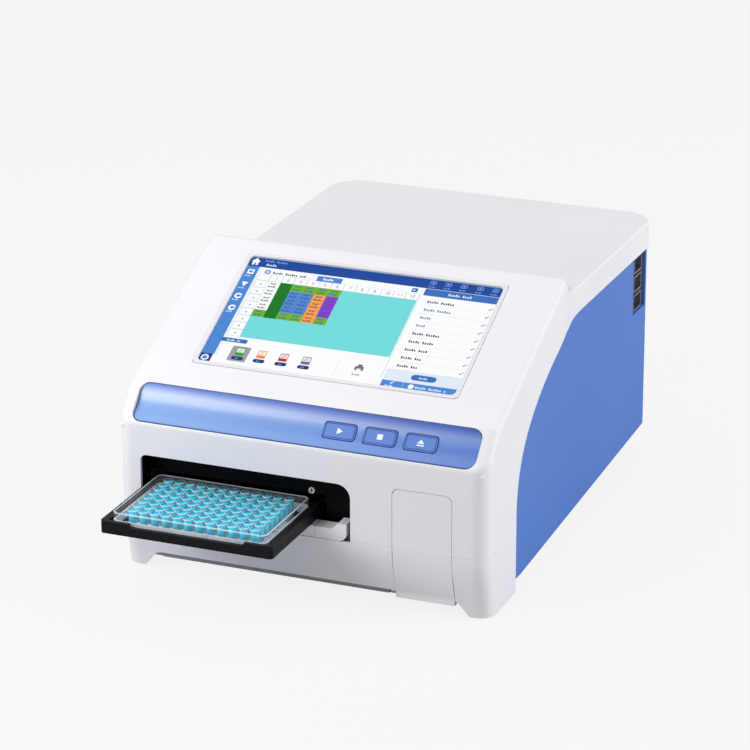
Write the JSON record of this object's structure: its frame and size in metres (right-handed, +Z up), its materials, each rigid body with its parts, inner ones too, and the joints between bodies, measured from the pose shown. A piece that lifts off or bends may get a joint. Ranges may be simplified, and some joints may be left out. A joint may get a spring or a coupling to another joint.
{
  "type": "microplate reader",
  "caption": "Bench microplate reader with a sloping touch display, a concave control strip and a carrier that takes a well plate in and out through the front slot.",
  "frame": {"origin": "centre of the footprint with the carrier out, on the bench", "axes": "+X to the right seen from the front, -Y out of the front, +Z up"},
  "size_m": [0.298, 0.4926, 0.2168],
  "materials": {
    "housing": "fine texture",
    "panel": "satin",
    "panel_rear": "satin",
    "pan": "plain",
    "feet": "matt",
    "lining": "matt",
    "screws": "plain",
    "shutter": "fine texture",
    "bezel": "satin",
    "screen": "clear",
    "strip": "satin",
    "buttons": "satin",
    "board": "solder mask",
    "carrier": "fine texture",
    "plate": "clear with samples",
    "rail": "ground",
    "metal": "milled",
    "motor": "satin",
    "belt": "matt",
    "lens": "clear",
    "brass": "plain",
    "chips": "matt"
  },
  "bodies": {
    "reader": {"base_pan": "pan", "board_parts": "chips", "board_standoffs": "brass", "button_board": "board", "control_strip": "strip", "data_sockets": "screws", "detector_bar": "lining", "display_bezel": "bezel", "display_module": "pan", "drive_belt": "belt", "drive_motor": "motor", "fan_frame": "lining", "fan_guard": "screws", "fibre_bundle": "belt", "fibre_coupler": "metal", "guide_rail": "rail", "head_lenses": "lens", "head_posts": "metal", "idler_pin": "rail", "inlet_pins": "brass", "io_bracket": "pan", "lamp_housing": "metal", "liner_screws": "screws", "main_board": "board", "panel_screws": "screws", "plate_shutter": "shutter", "power_inlet": "lining", "power_supply": "pan", "read_head": "lining", "rear_panel": "panel_rear", "rubber_feet": "feet", "side_panel_left": "panel", "side_panel_right": "panel", "slot_liner": "lining", "switch_frame": "lining", "touch_glass": "screen", "transport_deck": "metal", "upper_housing": "housing", "wheel_bracket": "metal", "wheel_motor": "motor"},
    "carrier": {"plate_carrier": "carrier", "rail_blocks": "rail", "belt_clamp": "metal"},
    "plate": {"microplate": "plate"},
    "start_key": {"start_button": "buttons"},
    "stop_key": {"stop_button": "buttons"},
    "plate_key": {"plate_button": "buttons"},
    "cover": {"access_cover": "housing"},
    "wheel": {"filter_wheel": "lining", "filters": "lens"},
    "rotor": {"fan_rotor": "lining"},
    "rocker": {"power_switch": "chips"},
    "drive_pulley": {"motor_pulley": "metal"},
    "return_pulley": {"idler_pulley": "metal"}
  },
  "joints": [
    {"name": "carrier_slide", "type": "slide", "parent": "reader", "child": "carrier", "axis": [0, 1, 0], "range_m": [0, 0.15]},
    {"name": "plate_lift", "type": "slide", "parent": "carrier", "child": "plate", "axis": [0, 0, 1], "range_m": [0, 0.012]},
    {"name": "drive_pulley_turn", "type": "hinge", "parent": "reader", "child": "drive_pulley", "pos_m": [-0.02, 0.10325, 0.053], "axis": [0, 0, 1], "continuous": true},
    {"name": "return_pulley_turn", "type": "hinge", "parent": "reader", "child": "return_pulley", "pos_m": [-0.02, -0.10475, 0.053], "axis": [0, 0, 1], "continuous": true},
    {"name": "start_press", "type": "slide", "parent": "reader", "child": "start_key", "axis": [0, 0.7255, -0.6882], "range_m": [0, 0.0008], "stiffness_N_per_m": 400},
    {"name": "stop_press", "type": "slide", "parent": "reader", "child": "stop_key", "axis": [0, 0.7255, -0.6882], "range_m": [0, 0.0008], "stiffness_N_per_m": 400},
    {"name": "plate_press", "type": "slide", "parent": "reader", "child": "plate_key", "axis": [0, 0.7255, -0.6882], "range_m": [0, 0.0008], "stiffness_N_per_m": 400},
    {"name": "cover_pull", "type": "slide", "parent": "reader", "child": "cover", "axis": [0, -1, 0], "range_m": [0, 0.04]},
    {"name": "wheel_turn", "type": "hinge", "parent": "reader", "child": "wheel", "pos_m": [0.098, -0.12475, 0.05], "axis": [1, 0, 0], "continuous": true},
    {"name": "fan_turn", "type": "hinge", "parent": "reader", "child": "rotor", "pos_m": [0.06, 0.21025, 0.09], "axis": [0, 1, 0], "continuous": true},
    {"name": "switch_rock", "type": "hinge", "parent": "reader", "child": "rocker", "pos_m": [-0.06, 0.21825, 0.038], "axis": [1, 0, 0], "range_deg": [-16, 0]}
  ],
  "couplings": [
    {"joint": "drive_pulley_turn", "follows": "carrier_slide", "rad_per_m": -144.93},
    {"joint": "return_pulley_turn", "follows": "carrier_slide", "rad_per_m": -144.93}
  ]
}
